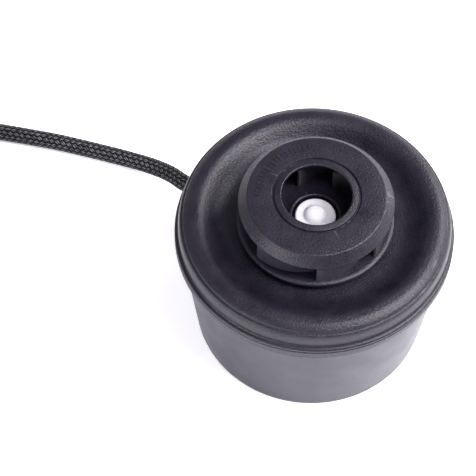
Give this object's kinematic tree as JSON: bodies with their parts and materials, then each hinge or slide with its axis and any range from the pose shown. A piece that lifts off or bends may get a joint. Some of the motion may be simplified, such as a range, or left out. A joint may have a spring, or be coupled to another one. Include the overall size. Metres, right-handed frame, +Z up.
{
  "type": "wind sensor head",
  "caption": "Round wind sensor head: a vane wheel spins on a ball-bearing spindle above a dished lid, and a braided lead carries the signal.",
  "frame": {"origin": "centre of the base's flat rest face", "axes": "+Z up along the wheel's axis; +Y away from the viewer; the lead leaves at the back left, towards -X"},
  "size_m": [0.2607, 0.1193, 0.0734],
  "materials": {
    "satin_black": "satin moulded black plastic",
    "textured_black": "fine moulded texture, black",
    "white_nylon": "smooth white",
    "rubber": "matt",
    "tie_black": "hook-and-loop tape",
    "sleeve": "braided polyester sleeving, black with grey flecks",
    "felt": "felt",
    "bearing_steel": "ground steel",
    "bright_steel": "zinc-plated steel",
    "dark_steel": "blackened steel",
    "aluminium": "turned",
    "brass": "turned",
    "board_green": "solder mask",
    "chip_black": "moulded epoxy",
    "header_white": "smooth",
    "magnet_grey": "sintered ferrite",
    "wire_red": "smooth",
    "wire_white": "smooth",
    "wire_black": "smooth"
  },
  "bodies": {
    "housing": {"base_cup": "satin_black", "lid": "textured_black", "lid_gasket": "rubber", "lid_screw_1": "dark_steel", "lid_screw_2": "dark_steel", "lid_screw_3": "dark_steel", "bearing_housing": "aluminium", "outer_spacer": "aluminium", "retaining_ring": "dark_steel", "shaft_seal": "felt", "upper_outer_ring": "bearing_steel", "lower_outer_ring": "bearing_steel", "circuit_board": "board_green", "hall_sensor": "chip_black", "pulse_chip": "chip_black", "board_header": "header_white", "board_capacitor": "aluminium", "board_screw_1": "bright_steel", "board_screw_2": "bright_steel", "board_screw_3": "bright_steel", "power_wire": "wire_red", "signal_wire": "wire_white", "ground_wire": "wire_black", "gland_body": "satin_black", "gland_nut": "satin_black", "gland_locknut": "satin_black", "gland_seal": "rubber", "mounting_insert_1": "brass", "mounting_insert_2": "brass", "mounting_insert_3": "brass", "cable_lead": "sleeve", "cable_coil": "sleeve", "cable_tail": "sleeve", "coil_tie": "tie_black", "plug_boot": "rubber", "plug_shell": "aluminium", "plug_insert": "chip_black"},
    "wheel": {"rotor_plate": "textured_black", "rotor_disc": "textured_black", "vane_1": "textured_black", "vane_2": "textured_black", "vane_3": "textured_black", "vane_4": "textured_black", "vane_5": "textured_black", "vane_6": "textured_black", "vane_7": "textured_black", "spindle_cap": "white_nylon", "hub_washer": "bearing_steel", "spindle": "bearing_steel", "upper_inner_ring": "bearing_steel", "lower_inner_ring": "bearing_steel", "inner_spacer": "aluminium", "shaft_clip": "dark_steel", "magnet_carrier": "chip_black", "carrier_screw": "dark_steel", "ring_magnet": "magnet_grey"},
    "upper_balls": {"upper_ball_cage": "bearing_steel"},
    "lower_balls": {"lower_ball_cage": "bearing_steel"},
    "plug_collar": {"plug_ring": "aluminium"}
  },
  "joints": [
    {"name": "wheel_spin", "type": "hinge", "parent": "housing", "child": "wheel", "pos_m": [0, 0, 0.0584], "axis": [0, 0, 1], "continuous": true},
    {"name": "upper_balls_spin", "type": "hinge", "parent": "housing", "child": "upper_balls", "pos_m": [0, 0, 0.0462], "axis": [0, 0, 1], "continuous": true},
    {"name": "lower_balls_spin", "type": "hinge", "parent": "housing", "child": "lower_balls", "pos_m": [0, 0, 0.0265], "axis": [0, 0, 1], "continuous": true},
    {"name": "plug_ring_turn", "type": "hinge", "parent": "housing", "child": "plug_collar", "pos_m": [-0.2055, -0.0365, 0.0076], "axis": [0, 1, 0], "continuous": true}
  ],
  "couplings": [
    {"joint": "upper_balls_spin", "follows": "wheel_spin", "ratio": 0.396},
    {"joint": "lower_balls_spin", "follows": "wheel_spin", "ratio": 0.396}
  ]
}
